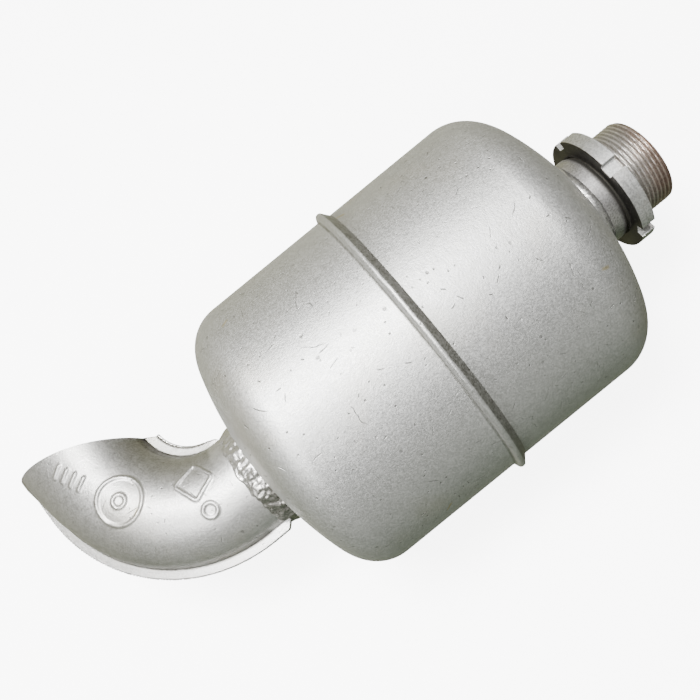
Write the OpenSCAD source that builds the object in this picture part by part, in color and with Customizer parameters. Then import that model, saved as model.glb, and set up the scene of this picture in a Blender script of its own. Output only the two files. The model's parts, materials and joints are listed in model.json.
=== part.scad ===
// Exhaust silencer of a small stationary engine, lying on its side.
// X runs along the barrel, from the outlet elbow towards the inlet thread. The origin is the centre
// of the thread's outer end. The elbow bends in the XY plane, towards +Y. Millimetres.

/* [Barrel] */
// Outside radius of the rear shell, on the elbow's side
rear_r = 78; // [77.5:0.1:79]
// Outside radius of the front shell, on the thread's side
front_r = 77.3; // [76:0.1:77.8]
// Thickness of the shell sheet
sheet_t = 1.2; // [0.8:0.1:1.5]
// Distance from the thread's outer end to the girth seam
seam_dist = 141; // [130:1:160]
// Distance from the seam to the top of the front dome
front_len = 100.5; // [90:0.5:110]
// Distance from the seam to the top of the rear dome
rear_len = 107.5; // [95:0.5:120]
// Knuckle radius between a shell's wall and its dome
knuckle_r = 23; // [16:1:30]
// Crown radius of the front dome
front_crown_r = 143; // [120:1:220]
// Crown radius of the rear dome
rear_crown_r = 182; // [120:1:220]
// Height of the girth seam above the rear shell
seam_h = 3.8; // [3:0.1:5]

/* [Inlet spigot] */
// Major diameter of the inlet thread, which is G 1 1/2
thread_d = 47.8; // [47:0.1:48]
// Pitch of the thread, 11 turns to the inch
thread_pitch = 2.309; // [2.2:0.001:2.4]
// Length of the thread
thread_len = 29.6; // [28.6:0.2:32]
// Outside diameter of the pipe behind the thread
pipe_d = 49.4; // [48.6:0.1:51]
// Inside diameter of the spigot
spigot_bore_d = 40; // [36:0.5:41]

/* [Ring nut] */
// Outside diameter of the ring nut
nut_d = 65.6; // [60:0.2:70]
// Thickness of the ring nut
nut_t = 8; // [6:0.2:8.4]
// Distance from the thread's outer end to the nut's outer face
nut_dist = 20.2; // [10:0.1:20.6]
// Number of spanner slots
nut_slots = 5; // [4:1:6]
// Width of a spanner slot
slot_w = 7.2; // [5:0.2:9]
// Depth of a spanner slot
slot_depth = 3.8; // [2:0.1:5]
// Turn of the first slot from the top towards the -Y side
slot_turn = 4; // [0:1:72]

/* [Elbow] */
// Bend radius of the elbow's centreline
bend_r = 58; // [54:1:64]
// Distance of the bend's start behind the seam
bend_dist = 121.2; // [115:0.2:130]
// Shift of the elbow's centreline from the barrel's axis
elbow_shift = -2; // [-2.4:0.1:0]
// Outside radius of the elbow at the barrel
elbow_r = 27; // [25:0.1:29]
// Outside radius of the elbow after a quarter turn
outlet_r = 30.6; // [28:0.1:33]
// Angle of the bend
bend_angle = 88; // [84:1:92]
// Width of the pressed edge flanges
flange_w = 5; // [3:0.2:7]
// Thickness of each pressed half
press_t = 1.8; // [1.2:0.1:2.2]
// Slant of the mouth at its middle, measured from the barrel's axis
mouth_slant = 19.5; // [10:0.5:25]
// Radius of the mouth's bowed edge
mouth_r = 195; // [150:5:400]

/* [Inner parts] */
// Outside diameter of the perforated inlet tube
inlet_tube_d = 39.9; // [36:0.1:39.9]
// Outside diameter of the perforated outlet tube
outlet_tube_d = 44; // [38:0.5:45]
// Wall of both tubes
tube_t = 1.5; // [1:0.1:2]
// Diameter of a hole in the perforated tubes
perforation_d = 5; // [3:0.5:6]
// Number of holes in each ring of holes
perforations = 12; // [8:1:14]
// Diameter of the gas holes in the baffles
gas_hole_d = 16; // [10:1:20]

/* [Hidden] */

$fn = 96;
arc_steps = 10;
gap = 0.05;
seam_x = -seam_dist;
front_top_x = seam_x + front_len;
rear_top_x = seam_x - rear_len;
paint = "silver";
bare_steel = "slategray";
weld_grey = "gainsboro";

// Girth seam: lengths along X are counted back from the seam's front edge
crest_r = rear_r + seam_h;
crest_w = 4.6;
crest_round = 0.6;
fold_w = 3.7;
fold_t = 1;
rim_below_crest = 1.9;
seam_foot = 6.6;
seam_foot_h = 0.4;
seam_flare = 9;
baffle_t = 1.2;
baffle_back = 5.15;
baffle_x = seam_x - baffle_back;

// Spigot
thread_r = thread_d / 2;
thread_depth = 1.479;
thread_land = 0.6;
collar_chamfer = 0.8;
pipe_r = pipe_d / 2;
spigot_bore_r = spigot_bore_d / 2;
spigot_inside_len = 16;
spigot_inner_x = front_top_x - spigot_inside_len;
spigot_weld_r = pipe_r + 1.7;
spigot_weld_h = 3.1;
spigot_weld_end_x = front_top_x + spigot_weld_h;
front_hole_r = pipe_r + gap;

// Ring nut
nut_bore_r = thread_r + gap;
nut_chamfer = 0.8;

// Tubes and baffles
inlet_tube_r = inlet_tube_d / 2;
outlet_tube_r = outlet_tube_d / 2;
inlet_tube_end_x = seam_x - 14;
outlet_tube_outside = 12;
outlet_tube_inside = 62;
rear_baffle_depth = 48;
outlet_tube_start_x = rear_top_x - outlet_tube_outside;
outlet_tube_end_x = rear_top_x + outlet_tube_inside;
rear_baffle_x = rear_top_x + rear_baffle_depth;
collar_len = 7;
collar_t = 2;
perforation_pitch = 9;
cap_t = 2;
weld_leg = 2.5;
tacks = 6;
tack_r = 1.2;
baffle_lip = 8;

// Elbow
bend_x = seam_x - bend_dist;
bend_y = bend_r + elbow_shift;
elbow_start_x = rear_top_x - 2.9;
straight_len = elbow_start_x - bend_x;
corner_cut = 4;
end_len = 36;
widen_before = 11;
widen_len = 26;
widen_w = 4;
min_flange_w = 0.4;
bend_steps = 20;
end_steps = 4;
inner_flange_w0 = 4.3;
inner_flange_w1 = 6.5;
inner_flange_from = -4;
inner_flange_to = 81.5;
flange_round = 8;
fillet_w = 0.8;
section_steps = 14;
mouth_x = seam_x - 172.7;
mouth_y = 62.8;
tip_dist = 41.3;
tip_round_r = 5;
seam_weld_h = 0.5;
root_weld_r = 29;
root_weld_cover = 3.3;

// Points of an arc about c in a list, from angle a0 to a1
function arc(c, r, a0, a1, n = arc_steps) =
    [for (i = [0:n]) let (a = a0 + (a1 - a0) * i / n) c + r * [cos(a), sin(a)]];

// Outline of a dished head as [radius, height] points, from its hole out to the wall at height 0,
// moved inwards by t
function head_depth(r, knuckle, crown) = crown - sqrt(pow(crown - knuckle, 2) - pow(r - knuckle, 2));
function head(r, knuckle, crown, t, hole_r) =
    let (rise = sqrt(pow(crown - knuckle, 2) - pow(r - knuckle, 2)),
         join = atan2(rise, r - knuckle),
         start = acos(hole_r / (crown - t)))
    concat(arc([0, -rise], crown - t, start, join),
           arc([r - knuckle, 0], knuckle - t, join, 0));

// A solid of revolution about X from [radius, x] points
module about_x(points) {
    rotate([90, 0, 90]) rotate_extrude() polygon(points);
}

// Copies of a child laid out along Z, turned about X
module around_x(count, first = 0) {
    for (i = [0:count - 1]) rotate([first + i * 360 / count, 0, 0]) children();
}

function flip(points, sign, x0) = [for (p = points) [p[0], x0 + sign * p[1]]];
function reverse(points) = [for (i = [len(points) - 1:-1:0]) points[i]];

// X on the seam's slanted front face at radius r, moved inwards square with the face by depth
function fold_x(r, depth) =
    let (rise = crest_r - front_r) seam_x - ((r - front_r) * fold_w + depth * norm([rise, fold_w])) / rise;

// Deep-drawn cup on the thread's side, with its rim flared out into the girth seam
module front_shell() {
    wall_x = front_top_x - head_depth(front_r, knuckle_r, front_crown_r);
    tip_r = crest_r - rim_below_crest;
    tip_inner_r = tip_r - crest_round;
    inner_r = front_r - sheet_t;
    rim_depth = fold_t + gap;
    color(paint) about_x(concat(
        flip(head(front_r, knuckle_r, front_crown_r, 0, front_hole_r), 1, wall_x),
        [[front_r, fold_x(front_r, rim_depth)], [tip_r, fold_x(tip_r, rim_depth)],
         [tip_inner_r, fold_x(tip_inner_r, rim_depth + fold_t)],
         [inner_r, fold_x(inner_r, rim_depth + fold_t)]],
        reverse(flip(head(front_r, knuckle_r, front_crown_r, sheet_t, front_hole_r), 1, wall_x))));
}

// Deep-drawn cup on the elbow's side, with its rim flared out and folded over the front shell's rim
module rear_shell() {
    wall_x = rear_top_x + head_depth(rear_r, knuckle_r, rear_crown_r);
    fold_end_r = front_r + gap;
    crest_inner_r = crest_r - sheet_t;
    foot_x = seam_x - seam_foot;
    color(paint) about_x(concat(
        flip(head(rear_r, knuckle_r, rear_crown_r, 0, outlet_tube_r + gap), -1, wall_x),
        [[rear_r, seam_x - seam_flare], [rear_r + seam_foot_h, foot_x],
         [crest_r - crest_round, seam_x - crest_w - crest_round],
         [crest_r, seam_x - crest_w], [crest_r, fold_x(crest_r, 0)],
         [fold_end_r, fold_x(fold_end_r, 0)], [fold_end_r, fold_x(fold_end_r, fold_t)],
         [crest_inner_r, fold_x(crest_inner_r, fold_t)], [rear_r, foot_x + fold_t],
         [rear_r - sheet_t, foot_x - crest_round]],
        reverse(flip(head(rear_r, knuckle_r, rear_crown_r, sheet_t, outlet_tube_r + gap), -1, wall_x))));
}

// Gas holes through a baffle at x, in a ring of radius ring_r
module gas_holes(ring_r, x, count) {
    around_x(count)
        translate([x, 0, ring_r]) rotate([0, 90, 0]) cylinder(h = 10, d = gas_hole_d, center = true);
}

// Perforated plate whose edge is clamped between the two shells in the girth seam
module middle_baffle() {
    hole_r = inlet_tube_r + collar_t + 2 * gap;
    edge_r = rear_r + 0.7;
    color(bare_steel) difference() {
        about_x([[hole_r, baffle_x], [edge_r, baffle_x], [edge_r, baffle_x + baffle_t],
                 [hole_r, baffle_x + baffle_t]]);
        gas_holes(50, baffle_x, 10);
    }
}

// Flanged sleeve in the middle baffle that steadies the inlet tube
module baffle_collar() {
    x0 = baffle_x - collar_len;
    x1 = baffle_x + baffle_t + gap;
    r0 = inlet_tube_r + gap;
    r1 = r0 + collar_t;
    color(bare_steel) about_x([[r0, x0], [r1, x0], [r1, x1], [r1 + 4, x1], [r1 + 4, x1 + 1.5],
                               [r0, x1 + 1.5]]);
}

// Plate in the rear shell that steadies the outlet tube
module rear_baffle() {
    r0 = outlet_tube_r + gap;
    r1 = rear_r - sheet_t - 0.3;
    color(bare_steel) difference() {
        about_x([[r0, rear_baffle_x], [r1 - 2, rear_baffle_x], [r1, rear_baffle_x + 2],
                 [r1, rear_baffle_x + baffle_lip], [r1 - baffle_t, rear_baffle_x + baffle_lip],
                 [r1 - baffle_t, rear_baffle_x + 2.4], [r1 - 2.4, rear_baffle_x + baffle_t],
                 [r0, rear_baffle_x + baffle_t]]);
        gas_holes(52, rear_baffle_x, 8);
    }
}

// Tack welds between the rear baffle's lip and the shell's wall
module rear_baffle_tacks() {
    wall_r = rear_r - sheet_t;
    x0 = rear_baffle_x + baffle_lip + gap;
    color(weld_grey) around_x(tacks, 15)
        translate([x0, 0, wall_r - tack_r - gap]) rotate([0, 90, 0])
            cylinder(h = 3, r1 = tack_r, r2 = tack_r / 2);
}

// Half the width of the crest at x: worn flat outside the nut, sharp from the nut's outer face inwards
function half_crest(x) = x > -nut_dist ? thread_land / 2 : 0;

// Both edges of the crest at x, or its one edge where it is sharp
function crest(x) = half_crest(x) > 0
    ? [[thread_r, x + half_crest(x)], [thread_r, x - half_crest(x)]] : [[thread_r, x]];

// Inlet pipe, threaded outside and welded into the front dome
module threaded_spigot() {
    root_r = thread_r - thread_depth;
    turns = round(thread_len / thread_pitch);
    half_land = thread_land / 2;
    thread = [for (i = [0:turns - 1])
        let (crest_x = -half_land - i * thread_pitch, root_x = crest_x - thread_pitch / 2)
        each concat(crest(crest_x), [[root_r, root_x + half_land], [root_r, root_x - half_land]])];
    color(bare_steel) about_x(concat(
        [[spigot_bore_r, 0]],
        thread,
        [[root_r, -thread_len], [pipe_r - collar_chamfer, -thread_len],
         [pipe_r, -thread_len - collar_chamfer], [pipe_r, spigot_inner_x],
         [spigot_bore_r, spigot_inner_x]]));
}

// Round lock nut with spanner slots in its rim
module ring_nut() {
    x1 = -nut_dist;
    x0 = x1 - nut_t;
    nut_r = nut_d / 2;
    color(paint) difference() {
        about_x([[nut_bore_r + nut_chamfer, x0], [nut_r - nut_chamfer, x0], [nut_r, x0 + nut_chamfer],
                 [nut_r, x1 - nut_chamfer], [nut_r - nut_chamfer, x1], [nut_bore_r + nut_chamfer, x1],
                 [nut_bore_r, x1 - nut_chamfer], [nut_bore_r, x0 + nut_chamfer]]);
        around_x(nut_slots, slot_turn)
            translate([x0 - 1, -slot_w / 2, nut_r - slot_depth]) cube([nut_t + 2, slot_w, slot_depth + 1]);
    }
}

// Height of the front dome's outer surface on X at radius r
function front_dome_x(r) = front_top_x - front_crown_r + sqrt(pow(front_crown_r, 2) - r * r);

// Weld bead round the spigot, outside on the front dome
module spigot_outer_weld() {
    color(weld_grey) about_x([
        [front_hole_r, front_dome_x(front_hole_r) + gap], [spigot_weld_r, front_dome_x(spigot_weld_r) + gap],
        [spigot_weld_r, spigot_weld_end_x - 1.6], [spigot_weld_r - 0.5, spigot_weld_end_x - 0.6],
        [front_hole_r, spigot_weld_end_x]]);
}

// Weld fillet round the spigot, inside the front dome
module spigot_inner_weld() {
    x1 = front_top_x - sheet_t - 2.4;
    color(weld_grey) about_x([[front_hole_r, x1], [front_hole_r + weld_leg, x1 - 0.4],
                              [front_hole_r, x1 - weld_leg]]);
}

// Rings of holes through a tube's wall, between two places on X
module perforation_rings(r, x_from, x_to) {
    rings = floor((x_to - x_from) / perforation_pitch);
    for (i = [0:rings]) translate([x_from + i * perforation_pitch, 0, 0])
        around_x(perforations, (i % 2) * 180 / perforations)
            translate([0, 0, r - 3]) cylinder(h = 6, d = perforation_d, $fn = 24);
}

// Perforated tube that leads the gas from the spigot through the front chamber
module inlet_tube() {
    x1 = spigot_inner_x + 10;
    color(bare_steel) difference() {
        about_x([[inlet_tube_r - tube_t, inlet_tube_end_x], [inlet_tube_r, inlet_tube_end_x],
                 [inlet_tube_r, x1], [inlet_tube_r - tube_t, x1]]);
        perforation_rings(inlet_tube_r, seam_x + 10, spigot_inner_x - 10);
    }
}

// Weld bead between the spigot's inner end and the inlet tube
module inlet_tube_weld() {
    r0 = inlet_tube_r + gap;
    x1 = spigot_inner_x - gap;
    color(weld_grey) about_x([[r0, x1], [r0 + weld_leg, x1], [r0, x1 - weld_leg]]);
}

// Disc that closes the inlet tube's inner end
module inlet_tube_cap() {
    x1 = inlet_tube_end_x - gap;
    color(bare_steel) about_x([[0, x1 - cap_t], [inlet_tube_r - 1, x1 - cap_t], [inlet_tube_r - 1, x1],
                               [0, x1]]);
}

// Weld round the inlet tube's end disc
module inlet_cap_weld() {
    r0 = inlet_tube_r - 1 + gap;
    x1 = inlet_tube_end_x - gap;
    color(weld_grey) about_x([[r0, x1 - cap_t + 0.4], [r0 + 1.2, x1 - 0.8], [r0 + 1.2, x1], [r0, x1]]);
}

// Perforated tube that leads the gas out through the rear dome into the elbow
module outlet_tube() {
    color(bare_steel) difference() {
        about_x([[outlet_tube_r - tube_t, outlet_tube_start_x], [outlet_tube_r, outlet_tube_start_x],
                 [outlet_tube_r, outlet_tube_end_x], [outlet_tube_r - tube_t, outlet_tube_end_x]]);
        perforation_rings(outlet_tube_r, rear_top_x + 12, rear_baffle_x - 6);
    }
}

// Weld fillet round the outlet tube, inside the rear dome
module outlet_tube_weld() {
    r0 = outlet_tube_r + gap;
    x0 = rear_top_x + sheet_t + 1.6;
    color(weld_grey) about_x([[r0, x0], [r0 + weld_leg, x0 + 0.3], [r0, x0 + weld_leg]]);
}

// Disc that closes the outlet tube's inner end
module outlet_tube_cap() {
    x0 = outlet_tube_end_x + gap;
    color(bare_steel) about_x([[0, x0], [outlet_tube_r - 1, x0], [outlet_tube_r - 1, x0 + cap_t],
                               [0, x0 + cap_t]]);
}

// Weld round the outlet tube's end disc
module outlet_cap_weld() {
    r0 = outlet_tube_r - 1 + gap;
    x0 = outlet_tube_end_x + gap;
    color(weld_grey) about_x([[r0, x0], [r0 + 1.2, x0], [r0 + 1.2, x0 + 0.8], [r0, x0 + cap_t - 0.4]]);
}

// The elbow's stations as [angle round the bend, straight distance past that point of the bend]
stations = concat(
    [[0, -straight_len], [0, corner_cut - straight_len]],
    [for (i = [0:bend_steps]) [bend_angle * i / bend_steps, 0]],
    [for (i = [1:end_steps]) [bend_angle, end_len * i / end_steps]]);

// Outside radius of the tube at a station, growing evenly along the bend and the straight end
function tube_r(s) =
    elbow_r + (outlet_r - elbow_r) * (s[0] / 90 + max(0, s[1]) / (bend_r * PI / 2));

// A point at a station: out is the distance from the tube's centre away from the bend's centre
function on_station(s, out, z) =
    [bend_x - (bend_r + out) * sin(s[0]) - s[1] * cos(s[0]),
     bend_y - (bend_r + out) * cos(s[0]) + s[1] * sin(s[0]), z];

// Share, from 0 to 1, by which the tube's outer wall has taken over the outer flange near the mouth
function takeover(s) =
    let (past_bend = (s[0] - bend_angle) * bend_r * PI / 180 + max(0, s[1]))
    min(1, max(0, (past_bend + widen_before) / widen_len));

// Width of the outer flange, whose corner is cut off beside the barrel
function outer_flange_w(s) = s[1] > -straight_len
    ? flange_w - (flange_w - min_flange_w) * takeover(s) : flange_w - corner_cut;

// Width of the inner flange, which grows along the bend and is rounded off at both ends
function fade(d) = d <= 0 ? 0 : d >= flange_round ? 1 : sqrt(1 - pow(1 - d / flange_round, 2));
function inner_flange_w(s) =
    let (along = s[0] + s[1] / bend_r * 180 / PI,
         full = inner_flange_w0 + (inner_flange_w1 - inner_flange_w0) * s[0] / bend_angle,
         ends = min(fade(along - inner_flange_from), fade(inner_flange_to - along)))
    min_flange_w + (full - min_flange_w) * ends;

// Half an oval of height r from angle a0 to a1, its outer side widened by wide
function half_oval(r, wide, a0, a1) =
    [for (p = arc([0, 0], r, a0, a1, section_steps)) [p[0] * (p[0] > 0 ? 1 + wide / r : 1), p[1]]];

// Section of the upper pressed half as [out, z] points, round the tube's centre
function half_section(s) =
    let (r = tube_r(s), wide = widen_w * takeover(s), flat = asin((press_t + 1) / r),
         outer_w = outer_flange_w(s), inner_w = inner_flange_w(s), root = fillet_w / flange_w)
    concat([[r + wide + outer_w, gap], [r + wide + outer_w, press_t], [r + wide + root * outer_w, press_t]],
           half_oval(r, wide, flat, 180 - flat),
           [[-r - root * inner_w, press_t], [-r - inner_w, press_t], [-r - inner_w, gap]],
           half_oval(r - press_t, wide, 179.8, 0.2));

// A closed skin through equal-length sections, one section after another
module sweep(sections) {
    n = len(sections[0]);
    m = len(sections);
    skin = [for (i = [0:m - 2]) for (j = [0:n - 1])
        let (a = i * n + j, b = i * n + (j + 1) % n)
        each [[a, b + n, b], [a, a + n, b + n]]];
    polyhedron(points = [for (s = sections) each s],
               faces = concat(skin, [[for (j = [0:n - 1]) j]],
                              [[for (j = [n - 1:-1:0]) (m - 1) * n + j]]),
               convexity = 8);
}

// What lies outside the rounded corner at the mouth's outer end, seen from the middle of the mouth
module beyond_tip() {
    corner = bend_angle - mouth_slant;
    centre = [-tip_dist, sqrt(pow(mouth_r - tip_round_r, 2) - pow(tip_dist, 2)) - mouth_r];
    mouth_normal = (centre + [0, mouth_r]) / (mouth_r - tip_round_r);
    wall_normal = [-sin(corner), -cos(corner)];
    reach = 4 * tip_round_r;
    difference() {
        polygon([centre, centre + reach * mouth_normal, centre + reach * (mouth_normal + wall_normal),
                 centre + reach * wall_normal]);
        translate(centre) circle(tip_round_r);
    }
}

// Everything beyond the elbow's bowed mouth
module beyond_mouth() {
    translate([mouth_x, mouth_y, 0]) rotate([0, 0, -mouth_slant])
        linear_extrude(height = 100, center = true) {
            difference() {
                square(mouth_r, center = true);
                translate([0, -mouth_r]) circle(mouth_r, $fn = 360);
            }
            beyond_tip();
        }
}

module elbow_half() {
    difference() {
        sweep([for (s = stations) [for (p = half_section(s)) on_station(s, p[0], p[1])]]);
        beyond_mouth();
    }
}

module elbow_upper_half() {
    color(paint) elbow_half();
}

module elbow_lower_half() {
    color(paint) mirror([0, 0, 1]) elbow_half();
}

// Everything inside the rear dome
module inside_rear_dome() {
    wall_x = rear_top_x + head_depth(rear_r, knuckle_r, rear_crown_r);
    about_x(concat(flip(head(rear_r, knuckle_r, rear_crown_r, -2 * gap, 0), -1, wall_x), [[0, wall_x]]));
}

// Weld between the elbow and the rear dome, open where the elbow's flanges end
module elbow_root_weld() {
    r0 = outlet_tube_r - elbow_shift + 2 * gap;
    r1 = elbow_r + gap;
    slot_y = elbow_r + flange_w;
    slot_h = 2 * press_t + 2.2;
    x0 = elbow_start_x - root_weld_cover;
    color(weld_grey) difference() {
        translate([0, elbow_shift, 0]) about_x([
            [r0, elbow_start_x + gap], [r0, rear_top_x + 5], [root_weld_r + 1, rear_top_x + 5],
            [root_weld_r, elbow_start_x + 1], [root_weld_r - 1, x0 + 1], [r1 + 0.2, x0], [r1, x0],
            [r1, elbow_start_x + gap]]);
        inside_rear_dome();
        translate([x0 - 1, -slot_y, -slot_h / 2]) cube([elbow_start_x + gap - x0 + 1, 2 * slot_y, slot_h]);
    }
}

// Weld bead along the flanges' joint; side is 1 on the bend's outer edge and -1 on its inner edge
module seam_weld(side, along) {
    sweep([for (s = along)
        let (flange = side > 0 ? widen_w * takeover(s) + outer_flange_w(s) : inner_flange_w(s),
             edge = tube_r(s) + flange + gap,
             section = [[edge, -press_t + 0.3], [edge + seam_weld_h, -press_t + 0.8],
                        [edge + seam_weld_h, press_t - 0.8], [edge, press_t - 0.3]])
        [for (p = side > 0 ? section : reverse(section)) on_station(s, side * p[0], p[1])]]);
}

module elbow_outer_seam_weld() {
    color(weld_grey) seam_weld(1, [for (s = stations) if (s[1] > -straight_len && s[1] <= end_len / 2) s]);
}

module elbow_inner_seam_weld() {
    color(weld_grey) seam_weld(-1, [for (s = stations)
        if (s[1] == 0 && s[0] > inner_flange_from + 5 && s[0] < inner_flange_to - 5) s]);
}

front_shell();
rear_shell();
middle_baffle();
baffle_collar();
rear_baffle();
rear_baffle_tacks();
threaded_spigot();
ring_nut();
spigot_outer_weld();
spigot_inner_weld();
inlet_tube();
inlet_tube_weld();
inlet_tube_cap();
inlet_cap_weld();
outlet_tube();
outlet_tube_weld();
outlet_tube_cap();
outlet_cap_weld();
elbow_upper_half();
elbow_lower_half();
elbow_root_weld();
elbow_outer_seam_weld();
elbow_inner_seam_weld();
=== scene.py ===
"""Looks of the exhaust silencer: finer meshes on the CAD frame, procedural materials, studio and camera.

Everything is in metres, in the CAD model's own frame: X along the barrel, out of the inlet thread.
"""
import json
import math
import random

import bmesh
import bpy
from mathutils import Matrix, Vector, noise


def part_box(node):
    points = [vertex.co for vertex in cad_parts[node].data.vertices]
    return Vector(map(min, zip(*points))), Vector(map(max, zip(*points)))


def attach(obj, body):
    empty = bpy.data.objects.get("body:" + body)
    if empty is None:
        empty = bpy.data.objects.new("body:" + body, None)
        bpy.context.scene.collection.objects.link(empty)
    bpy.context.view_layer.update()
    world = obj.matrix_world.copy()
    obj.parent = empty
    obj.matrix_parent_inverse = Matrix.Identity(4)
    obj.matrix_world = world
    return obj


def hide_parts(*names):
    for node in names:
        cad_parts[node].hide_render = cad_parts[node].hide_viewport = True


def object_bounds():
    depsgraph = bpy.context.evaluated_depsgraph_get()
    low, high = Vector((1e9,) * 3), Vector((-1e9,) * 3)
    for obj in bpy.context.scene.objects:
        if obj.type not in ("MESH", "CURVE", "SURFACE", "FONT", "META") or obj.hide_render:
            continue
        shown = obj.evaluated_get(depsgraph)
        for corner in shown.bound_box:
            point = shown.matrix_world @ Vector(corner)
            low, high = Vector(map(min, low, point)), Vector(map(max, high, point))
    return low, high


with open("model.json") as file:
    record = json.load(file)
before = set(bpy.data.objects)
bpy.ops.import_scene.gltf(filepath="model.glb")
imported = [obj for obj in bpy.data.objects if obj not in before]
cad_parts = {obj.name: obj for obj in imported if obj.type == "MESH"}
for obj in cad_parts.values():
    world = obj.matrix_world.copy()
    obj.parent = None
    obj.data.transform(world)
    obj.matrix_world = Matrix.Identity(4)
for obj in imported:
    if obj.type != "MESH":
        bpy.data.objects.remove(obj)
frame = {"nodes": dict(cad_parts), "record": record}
cad_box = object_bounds()

MM = 0.001

# Barrel, in metres
REAR_R = 78 * MM
FRONT_R = 77.3 * MM
SHEET_T = 1.2 * MM
FOLD_T = 1.0 * MM
FOLD_W = 3.7 * MM
KNUCKLE_R = 23 * MM
FRONT_CROWN_R = 143 * MM
REAR_CROWN_R = 182 * MM
FRONT_LEN = 100.5 * MM
REAR_LEN = 107.5 * MM
OUTLET_HOLE_R = 22.05 * MM
SEAM_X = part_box("rear_shell")[1][0]
CREST_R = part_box("rear_shell")[1][2]
FRONT_TOP_X = SEAM_X + FRONT_LEN
REAR_TOP_X = SEAM_X - REAR_LEN

# Spigot and ring nut
THREAD_R = 23.9 * MM
THREAD_DEPTH = 1.479 * MM
PITCH = 2.309 * MM
THREAD_LEN = 29.6 * MM
BORE_R = 20 * MM
PIPE_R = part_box("threaded_spigot")[1][2]
SPIGOT_INNER_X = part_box("threaded_spigot")[0][0]
NUT_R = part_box("ring_nut")[1][2]
NUT_BORE_R = THREAD_R + 0.05 * MM
NUT_X = (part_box("ring_nut")[0][0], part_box("ring_nut")[1][0])
NUT_SLOTS = 5
SLOT_W = 7.2 * MM
SLOT_DEPTH = 3.8 * MM
SLOT_TURN = math.radians(4)

# Elbow
BEND_R = 58 * MM
BEND_X = SEAM_X - 121.2 * MM
ELBOW_SHIFT = -2 * MM
BEND_Y = BEND_R + ELBOW_SHIFT
BEND_ANGLE = math.radians(88)
BEND_LEN = BEND_R * BEND_ANGLE
ELBOW_START_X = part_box("elbow_upper_half")[1][0]
STRAIGHT_LEN = ELBOW_START_X - BEND_X
ELBOW_R = 27 * MM
ELBOW_END_R = 30.6 * MM
ELBOW_GROWTH = (ELBOW_END_R - ELBOW_R) / (BEND_R * math.pi / 2)
PRESS_T = 1.8 * MM
OUTER_ROUND_R = 0.5 * MM
INNER_ROUND_R = 1.5 * MM
JOINT_GAP = 0.03 * MM
JOINT_GAP_ANGLE = 0.002
FLANGE_W = 5 * MM
MIN_FLANGE_W = 0.4 * MM
CORNER_CUT = 4 * MM
WIDEN_W = 4 * MM
WIDEN_BEFORE = 11 * MM
WIDEN_LEN = 26 * MM
INNER_FLANGE_W = (4.3 * MM, 6.5 * MM)
INNER_FLANGE_ENDS = (math.radians(-4) * BEND_R, math.radians(81.5) * BEND_R)
FLANGE_FADE = math.radians(8) * BEND_R
MOUTH = (SEAM_X - 172.7 * MM, 62.8 * MM)
MOUTH_SLANT = math.radians(19.5)
MOUTH_R = 195 * MM
TIP_DIST = 41.3 * MM
TIP_ROUND_R = 5 * MM
TIP_CENTRE = (-TIP_DIST, math.sqrt((MOUTH_R - TIP_ROUND_R) ** 2 - TIP_DIST ** 2) - MOUTH_R)

# Fineness of the elbow's mesh: points over and under a half's section, and sections along the path
ARC_STEPS = 150
INSIDE_POINTS = 41
STATIONS = 220
SECTION_STEP = 0.05 * MM

# Raised marks on the elbow
MARK_HEIGHT = 0.85 * MM
MARK_FLANK_W = 1.0 * MM
MARK_REACH = 22 * MM

# Colours of wear, grime and painted shade
SCRATCHED = (0.06, 0.057, 0.05, 1)
STAINED = (0.42, 0.34, 0.14, 1)
# Grime on the seam's face and the root weld, and also the colour of painted shade and shadow at the seam and
# along the elbow's flanges
GRIME_AND_SHADE = (0.1, 0.095, 0.075, 1)
# Painted shade on the nut's face towards the barrel, and painted shadow with grime in its bore
NUT_SHADE_AND_GRIME = (0.055, 0.052, 0.046, 1)
# Painted shade in the gap between the spigot's collar and the nut
GAP_SHADE = (0.05, 0.047, 0.04, 1)
THREAD_DIRT = (0.12, 0.105, 0.09, 1)
HEAT_STAIN = (0.3, 0.19, 0.11, 1)
PAINT_METALLIC = 0.94


def clamp(value, low=0.0, high=1.0):
    return max(low, min(high, value))


def wobble(point, scale, seed=0.0):
    """Smooth noise between about -1 and 1 at a point; scale is the size of its lumps in metres."""
    return noise.noise(Vector(point) / scale + Vector((seed, 2 * seed, 0)))


# ---------------------------------------------------------------- mesh helpers

def new_object(name, verts, faces, sharp_angle=35):
    """An object from points and faces, smooth apart from edges sharper than sharp_angle degrees."""
    mesh = bpy.data.meshes.new(name)
    mesh.from_pydata(verts, [], faces)
    tidy = bmesh.new()
    tidy.from_mesh(mesh)
    bmesh.ops.remove_doubles(tidy, verts=tidy.verts, dist=0.002 * MM)
    bmesh.ops.recalc_face_normals(tidy, faces=tidy.faces)
    for face in tidy.faces:
        face.smooth = True
    for edge in tidy.edges:
        if len(edge.link_faces) == 2:
            edge.smooth = edge.calc_face_angle() < math.radians(sharp_angle)
    tidy.to_mesh(mesh)
    tidy.free()
    obj = bpy.data.objects.new(name, mesh)
    bpy.context.scene.collection.objects.link(obj)
    return obj


def grid_faces(rows, columns, close_rows=True):
    """Quads of a grid of points stored row by row. Each row is a closed loop."""
    faces = []
    for i in range(rows if close_rows else rows - 1):
        for j in range(columns):
            k, m = (i + 1) % rows, (j + 1) % columns
            faces.append((i * columns + j, i * columns + m, k * columns + m, k * columns + j))
    return faces


def lathe(name, outline, segments=256, shape=None, sharp_angle=35):
    """A closed (radius, x) outline turned about X. shape(point) may move each point a little."""
    verts = []
    for k in range(segments):
        turn = 2 * math.pi * k / segments
        for r, x in outline:
            point = Vector((x, -r * math.sin(turn), r * math.cos(turn)))
            verts.append(shape(point) if shape else point)
    faces = grid_faces(segments, len(outline))
    return new_object(name, verts, faces, sharp_angle)


def radial(point):
    """Unit vector from the X axis towards a point."""
    return Vector((0, point.y, point.z)).normalized()


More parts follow.
